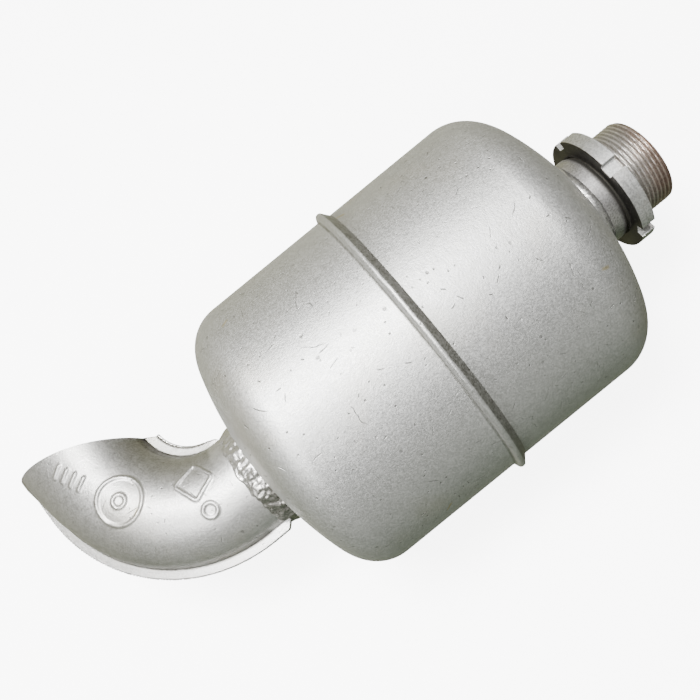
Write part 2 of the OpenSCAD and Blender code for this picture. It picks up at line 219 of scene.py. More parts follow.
def arc(centre, r, a0, a1, steps):
    """Points of an arc in a plane, from angle a0 to a1 in radians."""
    turns = [a0 + (a1 - a0) * i / steps for i in range(steps + 1)]
    return [(centre[0] + r * math.cos(a), centre[1] + r * math.sin(a)) for a in turns]


def finish_piece(obj, body, material, slot, *nodes):
    """Gives a piece its material, parents it to the body it rides on and hides the CAD nodes it stands for.
    """
    obj.data.materials.clear()
    obj.data.materials.append(material)
    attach(obj, body)
    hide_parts(*nodes)


def apply_modifiers(obj):
    """Turns an object's modifiers into its mesh."""
    graph = bpy.context.evaluated_depsgraph_get()
    mesh = bpy.data.meshes.new_from_object(obj.evaluated_get(graph))
    obj.modifiers.clear()
    obj.data = mesh


def weld_bead(name, centres, seed):
    """One lumpy bead from (point, radii) blobs, melted together."""
    dice = random.Random(seed)
    blob = bmesh.new()
    for point, radii in centres:
        turn = Matrix.Rotation(dice.uniform(0, 6.28), 4, Vector((1, 0, 0)))
        place = Matrix.Translation(point) @ turn @ Matrix.Diagonal((*radii, 1))
        bmesh.ops.create_icosphere(blob, subdivisions=3, radius=1, matrix=place)
    mesh = bpy.data.meshes.new(name)
    blob.to_mesh(mesh)
    blob.free()
    obj = bpy.data.objects.new(name, mesh)
    bpy.context.scene.collection.objects.link(obj)
    melt = obj.modifiers.new("melt", "REMESH")
    melt.mode = "VOXEL"
    melt.voxel_size = 0.25 * MM
    melt.use_smooth_shade = True
    relax = obj.modifiers.new("relax", "SMOOTH")
    relax.factor = 0.5
    relax.iterations = 1
    apply_modifiers(obj)
    return obj


# ---------------------------------------------------------------- node helpers

def add(tree, kind, inputs=None, **settings):
    """Adds a shader node. inputs holds a value or a socket to link for each input."""
    node = tree.nodes.new(kind)
    for key, value in settings.items():
        setattr(node, key, value)
    for key, value in (inputs or {}).items():
        if isinstance(value, bpy.types.NodeSocket):
            tree.links.new(value, node.inputs[key])
        else:
            node.inputs[key].default_value = value
    return node


def math_node(tree, operation, a, b=0.0):
    return add(tree, "ShaderNodeMath", {0: a, 1: b}, operation=operation).outputs[0]


def ramp(tree, value, low, high, to_low=0.0, to_high=1.0):
    """Maps value from low..high to to_low..to_high, smoothly and clamped."""
    node = add(tree, "ShaderNodeMapRange", {"Value": value, "From Min": low, "From Max": high,
                                            "To Min": to_low, "To Max": to_high})
    node.interpolation_type = "SMOOTHSTEP"
    return node.outputs["Result"]


def mix(tree, factor, a, b):
    """Mixes two colours: a where factor is 0, b where it is 1."""
    return add(tree, "ShaderNodeMix", {0: factor, 6: a, 7: b}, data_type="RGBA").outputs[2]


def noise_node(tree, vector, scale, detail=3.0, roughness=0.5):
    return add(tree, "ShaderNodeTexNoise", {"Vector": vector, "Scale": scale, "Detail": detail,
                                            "Roughness": roughness}).outputs[0]


def start_material(name):
    """A new node material: (material, tree, position socket in metres, separated X, Y, Z)."""
    material = bpy.data.materials.new(name)
    material.use_nodes = True
    tree = material.node_tree
    tree.nodes.clear()
    place = add(tree, "ShaderNodeTexCoord").outputs["Object"]
    parts = add(tree, "ShaderNodeSeparateXYZ", {0: place}).outputs
    return material, tree, place, parts


def end_material(tree, colour, metallic, rough, height, bump):
    """Closes a material with a Principled shader and a bump of the given height in metres."""
    normal = add(tree, "ShaderNodeBump", {"Height": height, "Distance": bump, "Strength": 1.0})
    shader = add(tree, "ShaderNodeBsdfPrincipled", {"Base Color": colour, "Metallic": metallic,
                                                    "Roughness": rough, "Normal": normal.outputs[0]})
    output = add(tree, "ShaderNodeOutputMaterial")
    tree.links.new(shader.outputs[0], output.inputs["Surface"])


def wrapped(tree, parts):
    """Coordinates in metres along and around the barrel."""
    turn = math_node(tree, "ARCTAN2", parts["Y"], parts["Z"])
    around = math_node(tree, "MULTIPLY", turn, REAR_R)
    return add(tree, "ShaderNodeCombineXYZ", {0: around, 1: parts["X"]}).outputs[0]


def seen_from_above(tree, parts):
    """Coordinates in metres across the plane of the elbow's bend."""
    return add(tree, "ShaderNodeCombineXYZ", {0: parts["X"], 1: parts["Y"]}).outputs[0]


def plane_length(tree, a, b):
    """Length of the plane vector (a, b)."""
    vector = add(tree, "ShaderNodeCombineXYZ", {0: a, 1: b}).outputs[0]
    return add(tree, "ShaderNodeVectorMath", {0: vector}, operation="LENGTH").outputs["Value"]


def axis_distance(tree, parts):
    """Distance from the barrel's and spigot's axis."""
    return plane_length(tree, parts["Y"], parts["Z"])


def scratches(tree, flat, spacing, length, width, share, shift):
    """A mask of short thin scratches, at most one in each cell, each in a direction of its own.

    share is the part of the cells that have one, and shift moves the whole pattern.
    """
    sway = add(tree, "ShaderNodeTexNoise", {"Vector": flat, "Scale": 160.0, "Detail": 1.0}).outputs[1]
    sway = add(tree, "ShaderNodeVectorMath", {0: sway, 1: (length * 0.35,) * 3}, operation="MULTIPLY")
    place = add(tree, "ShaderNodeVectorMath", {0: flat, 1: (shift, 2 * shift, 0)}, operation="ADD")
    cell = add(tree, "ShaderNodeTexVoronoi", {"Vector": place.outputs[0], "Scale": 1 / spacing},
               voronoi_dimensions="2D")
    swayed = add(tree, "ShaderNodeVectorMath", {0: place.outputs[0], 1: sway.outputs[0]}, operation="ADD")
    offset = add(tree, "ShaderNodeVectorMath", {0: swayed.outputs[0], 1: cell.outputs["Position"]},
                 operation="SUBTRACT")
    draw = add(tree, "ShaderNodeSeparateColor", {0: cell.outputs["Color"]}).outputs
    turn = math_node(tree, "MULTIPLY", draw[0], 2 * math.pi)
    turned = add(tree, "ShaderNodeVectorRotate", {"Vector": offset.outputs[0], "Angle": turn},
                 rotation_type="Z_AXIS")
    local = add(tree, "ShaderNodeSeparateXYZ", {0: turned.outputs[0]}).outputs
    reach = math_node(tree, "MULTIPLY", math_node(tree, "ABSOLUTE", local[0]),
                      math_node(tree, "ADD", draw[1], 0.6))
    ends = ramp(tree, reach, 0.2 * length, 0.5 * length, 1.0, 0.0)
    line = ramp(tree, math_node(tree, "ABSOLUTE", local[1]), 0.25 * width, width, 1.0, 0.0)
    chosen = math_node(tree, "LESS_THAN", draw[2], share)
    return math_node(tree, "MULTIPLY", math_node(tree, "MULTIPLY", line, ends), chosen)


def dots(tree, flat, spacing, size, share):
    """A mask of small round pits, at most one in each cell."""
    cell = add(tree, "ShaderNodeTexVoronoi", {"Vector": flat, "Scale": 1 / spacing}, voronoi_dimensions="2D")
    draw = add(tree, "ShaderNodeSeparateColor", {0: cell.outputs["Color"]}).outputs
    dot = ramp(tree, cell.outputs["Distance"], 0.3 * size / spacing, size / spacing, 1.0, 0.0)
    return math_node(tree, "MULTIPLY", dot, math_node(tree, "LESS_THAN", draw[0], share))


def strongest(tree, *masks):
    """The largest of some masks at each place."""
    top = masks[0]
    for mask in masks[1:]:
        top = math_node(tree, "MAXIMUM", top, mask)
    return top


def band(tree, value, middle, half, soft):
    """1 where value is within half of middle, falling to 0 over soft on both sides."""
    away = math_node(tree, "ABSOLUTE", math_node(tree, "SUBTRACT", value, middle))
    return ramp(tree, away, half, half + soft, 1.0, 0.0)


def seam_dirt_and_shadow(tree, parts):
    """Painted shadow in a thin line behind the rolled seam, at its flare's root; grime on its slanted front
    face, and dust on the barrel beyond.
    """
    # The thin dark line behind the seam is a painted shadow of the flare's root.
    behind = math_node(tree, "MULTIPLY", band(tree, parts["X"], SEAM_X - 7.1 * MM, 0.2 * MM, 0.6 * MM), 0.65)
    face = math_node(tree, "MULTIPLY", band(tree, parts["X"], SEAM_X - 1.8 * MM, 1.6 * MM, 0.7 * MM), 0.8)
    dust = math_node(tree, "MULTIPLY", band(tree, parts["X"], SEAM_X, 0.0, 8 * MM), 0.22)
    return strongest(tree, behind, face, dust)


def flange_painted_shade(tree, parts):
    """Painted shade: dark in the creases at the roots of the elbow's two edge flanges, broad beside the
    inner one, faint on the inner flange's top, and growing towards the mouth.
    """
    x = math_node(tree, "SUBTRACT", BEND_X, parts["X"])
    y = math_node(tree, "SUBTRACT", BEND_Y, parts["Y"])
    turn = math_node(tree, "MAXIMUM", math_node(tree, "ARCTAN2", x, y), 0.0)
    growth = math_node(tree, "MULTIPLY", turn, ELBOW_GROWTH * BEND_R)
    distance = plane_length(tree, x, y)
    inside = math_node(tree, "ADD", distance, growth)
    outside = math_node(tree, "SUBTRACT", distance, growth)
    curved = ramp(tree, x, -1 * MM, 2 * MM)
    # Dark bands at the flanges' roots are painted shade in their creases.
    inner = band(tree, inside, BEND_R - ELBOW_R + 0.4 * MM, 0.7 * MM, 1.4 * MM)
    # A broad painted shade spreading from the inner flange's crease over the tube.
    crease_shade = band(tree, inside, BEND_R - ELBOW_R + 3 * MM, 1.5 * MM, 20 * MM)
    outer = band(tree, outside, BEND_R + ELBOW_R + 0.1 * MM, 0.4 * MM, 1.2 * MM)
    # Faint painted shade over the inner flange's top.
    edge = band(tree, inside, BEND_R - ELBOW_R - 4 * MM, 4 * MM, 1 * MM)
    along = strongest(tree, inner, math_node(tree, "MULTIPLY", crease_shade, 0.6),
                      math_node(tree, "MULTIPLY", outer, 0.75), math_node(tree, "MULTIPLY", edge, 0.3))
    # Painted shade that grows towards the elbow's mouth.
    mouth_shade = ramp(tree, x, 36 * MM, 60 * MM, 0.0, 0.3)
    return strongest(tree, math_node(tree, "MULTIPLY", along, curved), mouth_shade)


def root_dirt(tree, parts):
    """Grime on the elbow's root weld, thickest on the bend's outer side."""
    low_x, high_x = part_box("elbow_root_weld")[0][0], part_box("elbow_root_weld")[1][0]
    on_root = band(tree, parts["X"], (low_x + high_x) / 2, (high_x - low_x) / 2, 1 * MM)
    return math_node(tree, "MULTIPLY", on_root, ramp(tree, parts["Y"], -22 * MM, 2 * MM, 0.75, 0.08))


def toned(tone, factor):
    """A tone made darker or lighter, as a colour with alpha."""
    return tuple(min(1, c * factor) for c in tone) + (1,)


def silver_paint(name, flatten=wrapped, tone=(0.5, 0.5, 0.488), rough=0.5, wear=1.0, dirt_and_shade=None):
    """Sprayed heat-resistant aluminium paint: grainy, faintly clouded, scratched, pitted and stained; a
    given mask adds grime and painted shade in one dark colour.
    """
    material, tree, place, parts = start_material(name)
    flat = flatten(tree, parts)
    grain = noise_node(tree, place, 1000, 2, 0.75)
    mottle = noise_node(tree, place, 260, 3, 0.6)
    cloud = noise_node(tree, place, 24, 3, 0.5)
    blend = math_node(tree, "ADD", math_node(tree, "MULTIPLY", grain, 0.7),
                      math_node(tree, "MULTIPLY", mottle, 0.3))
    colour = mix(tree, ramp(tree, blend, 0.32, 0.68), toned(tone, 0.86), toned(tone, 1.13))
    warm = tuple(c * k for c, k in zip(tone, (0.95, 0.9, 0.78))) + (1,)
    colour = mix(tree, ramp(tree, cloud, 0.5, 0.8, 0.0, 0.5), colour, warm)
    worn = ramp(tree, noise_node(tree, place, 26, 2), 0.45, 0.58, 0.45, 1.0)
    lines = strongest(tree, scratches(tree, flat, 17 * MM, 6 * MM, 0.28 * MM, 0.35, 0.0),
                      scratches(tree, flat, 10 * MM, 2.5 * MM, 0.34 * MM, 0.25, 0.13),
                      scratches(tree, flat, 30 * MM, 16 * MM, 0.22 * MM, 0.35, 0.31))
    pits = strongest(tree, dots(tree, flat, 13 * MM, 1.1 * MM, 0.2),
                     dots(tree, flat, 5 * MM, 0.6 * MM, 0.14))
    damage = math_node(tree, "MULTIPLY", strongest(tree, lines, pits), worn)
    damage = math_node(tree, "MULTIPLY", damage, 0.75 * wear)
    colour = mix(tree, damage, colour, SCRATCHED)
    streaks = scratches(tree, flat, 45 * MM, 7 * MM, 1.1 * MM, 0.3, 0.57)
    colour = mix(tree, math_node(tree, "MULTIPLY", streaks, 0.6 * wear), colour, STAINED)
    # Grime and painted shade from the given mask darken the colour here.
    if dirt_and_shade:
        speckled = math_node(tree, "MULTIPLY", dirt_and_shade(tree, parts), ramp(tree, blend, 0.35, 0.6, 1.0, 0.7))
        colour = mix(tree, speckled, colour, GRIME_AND_SHADE)
    roughness = ramp(tree, grain, 0.25, 0.75, rough - 0.07, rough + 0.07)
    height = math_node(tree, "ADD", grain, math_node(tree, "MULTIPLY", mottle, 0.9))
    height = math_node(tree, "SUBTRACT", height, math_node(tree, "MULTIPLY", damage, 2.0))
    end_material(tree, colour, PAINT_METALLIC, roughness, height, 0.11 * MM)
    return material


def thread_metal(name):
    """The spigot: painted collar, painted shade in the gap behind the nut, worn thread that is brown at its
    outer end.
    """
    material, tree, place, parts = start_material(name)
    blotch = noise_node(tree, place, 150, 4, 0.65)
    fine = noise_node(tree, place, 1100, 2, 0.7)
    crest = ramp(tree, axis_distance(tree, parts), THREAD_R - 0.5 * MM, THREAD_R - 0.05 * MM)
    steel = mix(tree, ramp(tree, fine, 0.35, 0.65), (0.42, 0.4, 0.37, 1), (0.62, 0.6, 0.57, 1))
    along = math_node(tree, "SUBTRACT", parts["X"], math_node(tree, "MULTIPLY", parts["Y"], 0.3))
    along = math_node(tree, "ADD", along, math_node(tree, "MULTIPLY", blotch, 16 * MM))
    outer = ramp(tree, along, -6 * MM, 12 * MM)
    brown = mix(tree, ramp(tree, fine, 0.35, 0.7), (0.28, 0.19, 0.145, 1), (0.5, 0.39, 0.32, 1))
    bare = mix(tree, outer, steel, brown)
    bare = mix(tree, math_node(tree, "MULTIPLY", crest, 0.3), bare, (0.7, 0.67, 0.63, 1))
    root = ramp(tree, crest, 0.0, 0.3, 0.3, 0.0)
    bare = mix(tree, root, bare, THREAD_DIRT)
    painted = mix(tree, ramp(tree, fine, 0.3, 0.7), (0.3, 0.29, 0.28, 1), (0.52, 0.51, 0.5, 1))
    # Painted shade darkens the collar's rounding towards the nut and the thread in the gap before it.
    gap_shade = ramp(tree, parts["X"], -THREAD_LEN - 3.4 * MM, -THREAD_LEN - 0.3 * MM)
    painted = mix(tree, gap_shade, painted, GAP_SHADE)
    on_thread = ramp(tree, parts["X"], NUT_X[0] + 0.7 * MM, NUT_X[0] + 1.0 * MM)
    in_gap = math_node(tree, "SUBTRACT", gap_shade, on_thread)
    rough = math_node(tree, "ADD", ramp(tree, blotch, 0.3, 0.75, 0.34, 0.48),
                      math_node(tree, "MULTIPLY", in_gap, 0.35))
    height = math_node(tree, "ADD", fine, math_node(tree, "MULTIPLY", blotch, 0.5))
    end_material(tree, mix(tree, on_thread, painted, bare), PAINT_METALLIC, rough, height, 0.05 * MM)
    return material


def nut_metal(name):
    """The ring nut: thin paint on a faintly brushed rim; its face towards the barrel is painted nearly black
    as shade, and its bore as shadow and grime.
    """
    material, tree, place, parts = start_material(name)
    brushed = add(tree, "ShaderNodeMapping", {"Vector": place, "Scale": (1600.0, 90.0, 90.0)})
    lines = noise_node(tree, brushed.outputs[0], 1.0, 2)
    blotch = noise_node(tree, place, 200, 4, 0.6)
    fine = noise_node(tree, place, 1000, 2, 0.7)
    colour = mix(tree, ramp(tree, fine, 0.3, 0.7), (0.4, 0.4, 0.39, 1), (0.66, 0.66, 0.64, 1))
    colour = mix(tree, ramp(tree, blotch, 0.5, 0.8, 0.0, 0.5), colour, (0.36, 0.33, 0.29, 1))
    # Painted shade blackens the face towards the barrel; the bore gets painted shadow with grime.
    inboard = ramp(tree, parts["X"], NUT_X[0] + 0.1 * MM, NUT_X[0] + 0.5 * MM, 1.0, 0.0)
    bore = ramp(tree, axis_distance(tree, parts), NUT_BORE_R + 0.8 * MM, NUT_BORE_R + 1.2 * MM, 1.0, 0.0)
    shade_and_grime = strongest(tree, inboard, bore)
    colour = mix(tree, shade_and_grime, colour, NUT_SHADE_AND_GRIME)
    rough = math_node(tree, "ADD", ramp(tree, lines, 0.3, 0.7, 0.4, 0.52),
                      math_node(tree, "MULTIPLY", bore, 0.35))
    height = math_node(tree, "ADD", math_node(tree, "MULTIPLY", lines, 0.5), fine)
    end_material(tree, colour, PAINT_METALLIC, rough, height, 0.05 * MM)
    return material


def raw_steel(name, tone, rough):
    """Bare sheet or weld metal with heat stains, for what lies inside."""
    material, tree, place, _ = start_material(name)
    blotch = noise_node(tree, place, 60, 5, 0.65)
    fine = noise_node(tree, place, 700, 2)
    colour = mix(tree, ramp(tree, blotch, 0.3, 0.7), toned(tone, 0.6), toned(tone, 1))
    colour = mix(tree, ramp(tree, blotch, 0.55, 0.8, 0.0, 0.6), colour, HEAT_STAIN)
    roughness = ramp(tree, fine, 0.3, 0.7, rough - 0.06, rough + 0.1)
    end_material(tree, colour, 0.85, roughness, math_node(tree, "ADD", fine, blotch), 0.08 * MM)
    return material


# The barrel's paint takes a painted shadow behind the seam with its grime; the elbow's takes painted shade
# along its flanges and towards its mouth.
PAINT = silver_paint("silver_paint", dirt_and_shade=seam_dirt_and_shadow)
ELBOW_PAINT = silver_paint("silver_paint_elbow", seen_from_above, (0.52, 0.515, 0.5), 0.46, 0.6, flange_painted_shade)
WELD_PAINT = silver_paint("silver_paint_weld", seen_from_above, (0.58, 0.57, 0.55), 0.33, 0.0, root_dirt)
THREAD = thread_metal("rusty_thread")
NUT = nut_metal("nut_paint")
STEEL = raw_steel("bare_steel", (0.42, 0.42, 0.43), 0.45)
WELD = raw_steel("bare_weld", (0.33, 0.31, 0.3), 0.5)


# ---------------------------------------------------------------- barrel

def head(r, crown, inset, hole_r):
    """Outline of a dished head as (radius, height) points, from its hole to the wall at height 0."""
    steps = 40
    rise = math.sqrt((crown - KNUCKLE_R) ** 2 - (r - KNUCKLE_R) ** 2)
    join = math.atan2(rise, r - KNUCKLE_R)
    start = math.acos(hole_r / (crown - inset))
    return (arc((0, -rise), crown - inset, start, join, steps)
            + arc((r - KNUCKLE_R, 0), KNUCKLE_R - inset, join, 0, steps)[1:])


def head_depth(r, crown):
    """Height of a dished head, from its wall's end to its middle."""
    return crown - math.sqrt((crown - KNUCKLE_R) ** 2 - (r - KNUCKLE_R) ** 2)


def shifted(points, sign, x):
    """Head points as (radius, x): the wall ends at x and the head points towards sign."""
    return [(r, x + sign * h) for r, h in points]


def fold_x(r, depth):
    """X on the seam's slanted front face at radius r, moved inwards square with it by depth."""
    rise = CREST_R - FRONT_R
    return SEAM_X - ((r - FRONT_R) * FOLD_W + depth * math.hypot(rise, FOLD_W)) / rise


def dented(point):
    """Moves a point of the sheet a little, as a drawn and handled cup is never quite true."""
    return point + radial(point) * 0.12 * MM * wobble(point, 45 * MM)


def seam_dented(point):
    """As dented, with the finer ripple of the rolled seam on what stands above the barrel."""
    point = dented(point)
    r = math.hypot(point.y, point.z)
    share = clamp((r - REAR_R - 0.3 * MM) / (2 * MM))
    ripple = 0.16 * MM * wobble(point, 6 * MM, 3) + 0.1 * MM * wobble(point, 2.4 * MM, 5)
    return point + (radial(point) * (ripple - 0.2 * MM) + Vector((ripple, 0, 0))) * share


def front_shell():
    """Front cup. Its rim is flared into the fold of the rear cup."""
    hole_r = PIPE_R + 0.05 * MM
    wall_x = FRONT_TOP_X - head_depth(FRONT_R, FRONT_CROWN_R)
    depth = FOLD_T + 0.05 * MM
    tip_r = CREST_R - 1.9 * MM
    inner_r = FRONT_R - SHEET_T
    outside = shifted(head(FRONT_R, FRONT_CROWN_R, 0, hole_r), 1, wall_x)
    inside = shifted(head(FRONT_R, FRONT_CROWN_R, SHEET_T, hole_r), 1, wall_x)
    rim = [(FRONT_R, fold_x(FRONT_R, depth)), (tip_r, fold_x(tip_r, depth)),
           (tip_r - 0.6 * MM, fold_x(tip_r - 0.6 * MM, depth + FOLD_T)),
           (inner_r, fold_x(inner_r, depth + FOLD_T))]
    return lathe("front_cup", outside + rim + inside[::-1], shape=dented)


def rear_shell():
    """Rear cup. Its edge rises behind the seam and is folded down over the front cup's rim."""
    wall_x = REAR_TOP_X + head_depth(REAR_R, REAR_CROWN_R)
    fold_end_r = FRONT_R + 0.12 * MM
    outside = shifted(head(REAR_R, REAR_CROWN_R, 0, OUTLET_HOLE_R), -1, wall_x)
    inside = shifted(head(REAR_R, REAR_CROWN_R, SHEET_T, OUTLET_HOLE_R), -1, wall_x)
    crest = [(REAR_R, SEAM_X - 7.8 * MM), (REAR_R + 0.1 * MM, SEAM_X - 7.1 * MM),
             (REAR_R + 0.45 * MM, SEAM_X - 6.7 * MM), (REAR_R + 1.6 * MM, SEAM_X - 6.35 * MM),
             (CREST_R - 1.1 * MM, SEAM_X - 6.0 * MM), (CREST_R - 0.45 * MM, SEAM_X - 5.6 * MM),
             (CREST_R - 0.1 * MM, SEAM_X - 5.0 * MM), (CREST_R, SEAM_X - 4.3 * MM),
             (CREST_R - 0.3 * MM, fold_x(CREST_R - 0.3 * MM, 0) + 0.05 * MM)]
    fold = [(fold_end_r, fold_x(fold_end_r, 0)), (fold_end_r, fold_x(fold_end_r, FOLD_T)),
            (CREST_R - 1.2 * MM, fold_x(CREST_R - 1.2 * MM, FOLD_T)),
            (REAR_R - 0.1 * MM, SEAM_X - 5.7 * MM), (REAR_R - SHEET_T, SEAM_X - 7.2 * MM)]
    return lathe("rear_cup", outside + crest + fold + inside[::-1], segments=384, shape=seam_dented)


finish_piece(front_shell(), "silencer", PAINT, "silver_paint", "front_shell")
finish_piece(rear_shell(), "silencer", PAINT, "silver_paint", "rear_shell")


# ---------------------------------------------------------------- spigot and nut

def thread_cut(turns):
    """Depth of the thread below its crest, from 0 to 1, at a number of turns along it."""
    wave = 1 - abs(2 * (turns % 1) - 1)
    return clamp((wave - 0.14) / 0.72)


def spigot():
    """Pipe with a real helical thread. Rings of points run from the outer end inwards."""
    segments = 144
    steps_per_turn = 10
    rows = int(THREAD_LEN / PITCH * steps_per_turn)
    chamfer = 0.9 * MM
    runout = 1.6 * MM
    xs = [-THREAD_LEN * i / rows for i in range(rows + 1)]
    round_r = 5.5 * MM
    start = math.acos((THREAD_R - PIPE_R) / round_r + 1)
    collar = arc((PIPE_R - round_r, -THREAD_LEN - round_r * math.sin(start)), round_r, start, 0, 9)[1:]
    collar += [(PIPE_R, FRONT_TOP_X), (PIPE_R, SPIGOT_INNER_X), (BORE_R, SPIGOT_INNER_X),
               (BORE_R, -1.2 * MM), (BORE_R + 0.7 * MM, 0)]
    verts = []
    for k in range(segments):
        turn = k / segments
        a = 2 * math.pi * turn
        ring = []
        for x in xs:
            depth = THREAD_DEPTH * thread_cut(x / PITCH + turn) * clamp((x + THREAD_LEN) / runout)
            wear = 0.06 * MM * abs(wobble((x, THREAD_R * math.sin(a), THREAD_R * math.cos(a)), 5 * MM))
            top = min(THREAD_R, THREAD_R - chamfer - x)
            ring.append((min(top, THREAD_R - depth) - wear, x))
        for r, x in ring + collar:
            verts.append(Vector((x, -r * math.sin(a), r * math.cos(a))))
    faces = grid_faces(segments, len(xs) + len(collar))
    return new_object("spigot", verts, faces, 50)


def ring_nut():
    """Round nut with flat-bottomed slots, its edges broken by a small bevel."""
    floor = NUT_R - SLOT_DEPTH
    rim_half = math.asin(SLOT_W / 2 / NUT_R)
    floor_half = math.atan(SLOT_W / 2 / floor)
    rim_steps = 36
    outline = []
    for slot in range(NUT_SLOTS):
        middle = SLOT_TURN + slot * 2 * math.pi / NUT_SLOTS
        for k in range(-2, 3):
            a = floor_half * k / 2
            outline.append((middle + a, floor / math.cos(a)))
        span = 2 * math.pi / NUT_SLOTS - 2 * rim_half
        for k in range(rim_steps + 1):
            outline.append((middle + rim_half + span * k / rim_steps, NUT_R))
    rows = [(NUT_X[0], True), (NUT_X[1], True), (NUT_X[1], False), (NUT_X[0], False)]
    verts = []
    for x, outer in rows:
        for a, r in outline:
            reach = r if outer else NUT_BORE_R
            verts.append(Vector((x, -reach * math.sin(a), reach * math.cos(a))))
    obj = new_object("slotted_nut", verts, grid_faces(len(rows), len(outline)), 25)
    edges = obj.modifiers.new("bevel", "BEVEL")
    edges.width = 0.5 * MM
    edges.segments = 3
    edges.limit_method = "ANGLE"
    edges.angle_limit = math.radians(35)
    apply_modifiers(obj)
    return obj


def spigot_bead():
    """Smooth, uneven weld bead between the dome and the spigot's collar."""
    low_x, high_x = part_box("spigot_outer_weld")[0][0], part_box("spigot_outer_weld")[1][0]
    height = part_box("spigot_outer_weld")[1][2] - PIPE_R
    outline = [(PIPE_R - 0.6 * MM, high_x), (PIPE_R - 0.6 * MM, low_x - 0.6 * MM)]
    steps = 14
    for i in range(steps + 1):
        share = i / steps
        crown = math.sin(math.pi * (0.16 + 0.84 * share)) ** 0.45 if share < 1 else 0
        outline.append((PIPE_R - 0.15 * MM + height * crown, low_x - 0.3 * MM
                        + (high_x - low_x + 0.3 * MM) * share))

    def lumps(point):
        share = clamp((math.hypot(point.y, point.z) - PIPE_R) / (0.8 * MM))
        lump = 0.45 * MM * wobble(point, 7 * MM, 7) + 0.3 * MM * wobble(point, 2.6 * MM, 4) - 0.2 * MM
        drift = 0.8 * MM * wobble(point, 9 * MM, 1)
        return point + (radial(point) * lump + Vector((drift, 0, 0))) * share

    return lathe("spigot_bead", outline, 360, lumps, 60)


finish_piece(spigot(), "silencer", THREAD, "rusty_thread", "threaded_spigot")
finish_piece(ring_nut(), "nut", NUT, "silver_paint", "ring_nut")
finish_piece(spigot_bead(), "silencer", WELD_PAINT, "painted_weld", "spigot_outer_weld")


# ---------------------------------------------------------------- elbow

def on_path(length, out, z):
    """A point beside the elbow's centreline; length is counted from the bend's start."""
    turn = clamp(length, 0, BEND_LEN) / BEND_R
    rest = length - turn * BEND_R
    return Vector((BEND_X - (BEND_R + out) * math.sin(turn) - rest * math.cos(turn),
                   BEND_Y - (BEND_R + out) * math.cos(turn) + rest * math.sin(turn), z))


def tube_r(length):
    """Outer radius of the elbow's tube, which grows from the bend's start."""
    return ELBOW_R + ELBOW_GROWTH * max(0, length)


def takeover(length):
    """Share by which the tube's outer wall has taken over the outer flange near the mouth."""
    return clamp((length - BEND_LEN + WIDEN_BEFORE) / WIDEN_LEN)


def outer_flange(length):
    """Width of the outer edge flange, with its cut corner at the root."""
    cut = CORNER_CUT - (length + STRAIGHT_LEN)
    return FLANGE_W - (FLANGE_W - MIN_FLANGE_W) * takeover(length) - max(0, cut)


def inner_flange(length):
    """Width of the inner edge flange, which fades at both ends."""
    depth = clamp(min(length - INNER_FLANGE_ENDS[0], INNER_FLANGE_ENDS[1] - length) / FLANGE_FADE)
    growth = (INNER_FLANGE_W[1] - INNER_FLANGE_W[0]) * clamp(length / BEND_LEN)
    full = INNER_FLANGE_W[0] + growth
    return MIN_FLANGE_W + (full - MIN_FLANGE_W) * math.sqrt(1 - (1 - depth) ** 2)


def flange_side(r, width, rounding):
    """Half a flange as (out, z) points from its edge in to the fillet's end on the tube."""
    fillet = min(0.9 * MM, width * 0.4)
    c = math.sqrt((r + fillet) ** 2 - (PRESS_T + fillet) ** 2)
    edge = min(rounding, width * 0.3)
    joint = math.atan2(PRESS_T + fillet, c)
    top = [(r + width, JOINT_GAP)] + arc((r + width - edge, PRESS_T - edge), edge, 0, math.pi / 2, 5)
    curve = arc((c, PRESS_T + fillet), fillet, 1.5 * math.pi, math.pi + joint, 5)
    return top + curve, joint


def section(length):
    """The pressed half's section as (out, z) points: over the outside, then back along the inside."""
    r = tube_r(length)
    wide = WIDEN_W * takeover(length)
    outer, outer_joint = flange_side(r, outer_flange(length), OUTER_ROUND_R)
    inner, inner_joint = flange_side(r, inner_flange(length), INNER_ROUND_R)
    over = arc((0, 0), r, outer_joint, math.pi - inner_joint, ARC_STEPS)[1:-1]
    under = arc((0, 0), r - PRESS_T, math.pi - JOINT_GAP_ANGLE, JOINT_GAP_ANGLE, INSIDE_POINTS - 1)
    points = outer + over + [(-p[0], p[1]) for p in inner[::-1]] + under
    return [(p[0] * (1 + wide / r) if 0 < p[0] < r else p[0] + (wide if p[0] > 0 else 0), p[1])
            for p in points]


def beyond_mouth(point):
    """How far a point is beyond the mouth's surface: a slanted bow with a rounded outer corner."""
    x, y = point.x - MOUTH[0], point.y - MOUTH[1]
    along = x * math.cos(MOUTH_SLANT) - y * math.sin(MOUTH_SLANT)
    past = x * math.sin(MOUTH_SLANT) + y * math.cos(MOUTH_SLANT)
    outwards = along * (TIP_CENTRE[1] + MOUTH_R) - TIP_CENTRE[0] * (past + MOUTH_R)
    if outwards < 0:
        return math.hypot(along - TIP_CENTRE[0], past - TIP_CENTRE[1]) - TIP_ROUND_R
    return math.hypot(along, past + MOUTH_R) - MOUTH_R


def mouth_length(index, flip):
    """Length along the path at which the section's point number index meets the mouth."""
    low, high = BEND_LEN * 0.6, BEND_LEN + 40 * MM
    for _ in range(18):
        middle = (low + high) / 2
        out, z = section(middle)[index]
        if beyond_mouth(on_path(middle, out, flip * z)) > 0:
            high = middle
        else:
            low = middle
    return (low + high) / 2


def mark_height(point, marks):
    """Height of the raised marks at a point of the elbow's skin. Their flanks are rounded."""
    height = 0.0
    for centre, e1, e2, shape in marks:
        offset = point - centre
        if offset.length < MARK_REACH:
            gap = shape(offset.dot(e1), offset.dot(e2))
            height = max(height, clamp(1.3 - gap / MARK_FLANK_W))
    return MARK_HEIGHT * height * height * (3 - 2 * height)


